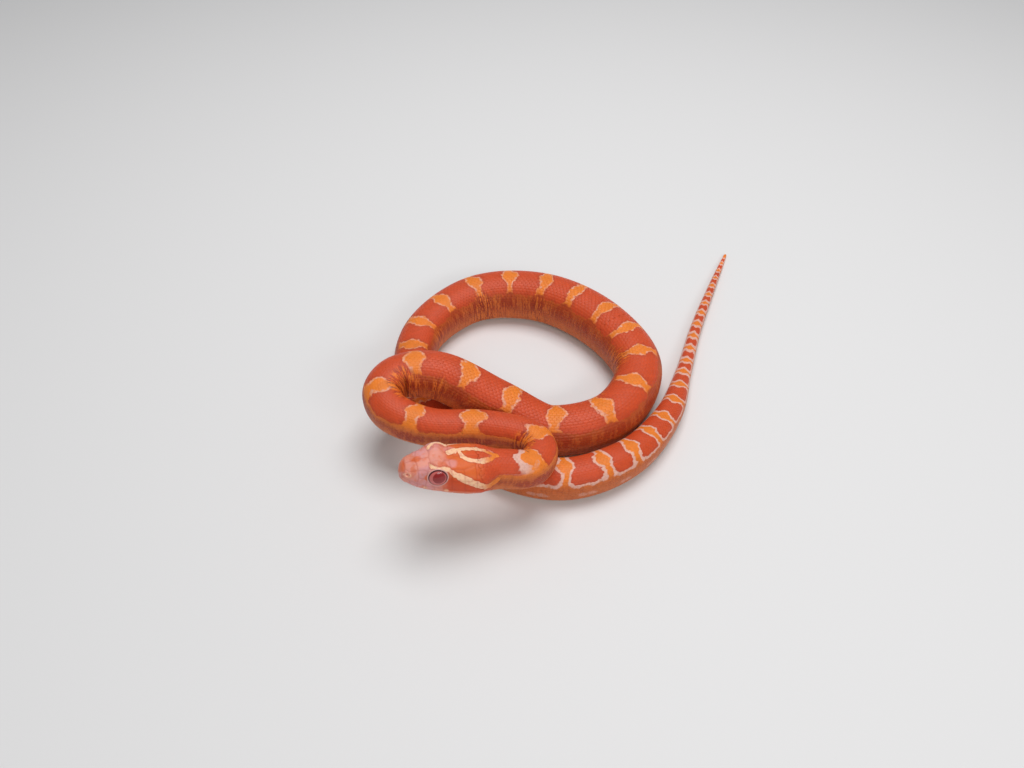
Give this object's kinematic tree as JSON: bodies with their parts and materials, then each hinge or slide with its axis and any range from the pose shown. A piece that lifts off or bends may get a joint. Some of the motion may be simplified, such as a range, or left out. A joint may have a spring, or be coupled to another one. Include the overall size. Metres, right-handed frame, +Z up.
{
  "type": "corn snake",
  "caption": "Young amelanistic corn snake, life size, resting in a loose coil with its neck folded back over its body and its head along the ground.",
  "frame": {"origin": "middle of the space the coiled snake takes up, on the ground it lies on", "axes": "+Z up from the ground, -X the way the snout points, -Y the side the snake's left eye faces"},
  "size_m": [0.0607, 0.0627, 0.0137],
  "materials": {
    "skin": "satin",
    "head": "satin",
    "eye": "gloss"
  },
  "bodies": {
    "root": {"head": "head", "lower_jaw": "head", "eye_left": "eye", "eye_right": "eye", "neck": "skin", "forebody_front": "skin", "forebody_bend": "skin", "forebody_rear": "skin", "midbody_front": "skin", "midbody_middle": "skin", "midbody_rear": "skin", "hindbody_front": "skin", "hindbody_middle": "skin", "hindbody_rear": "skin", "vent_length": "skin", "tail_base": "skin", "tail_tip": "skin"}
  },
  "joints": []
}
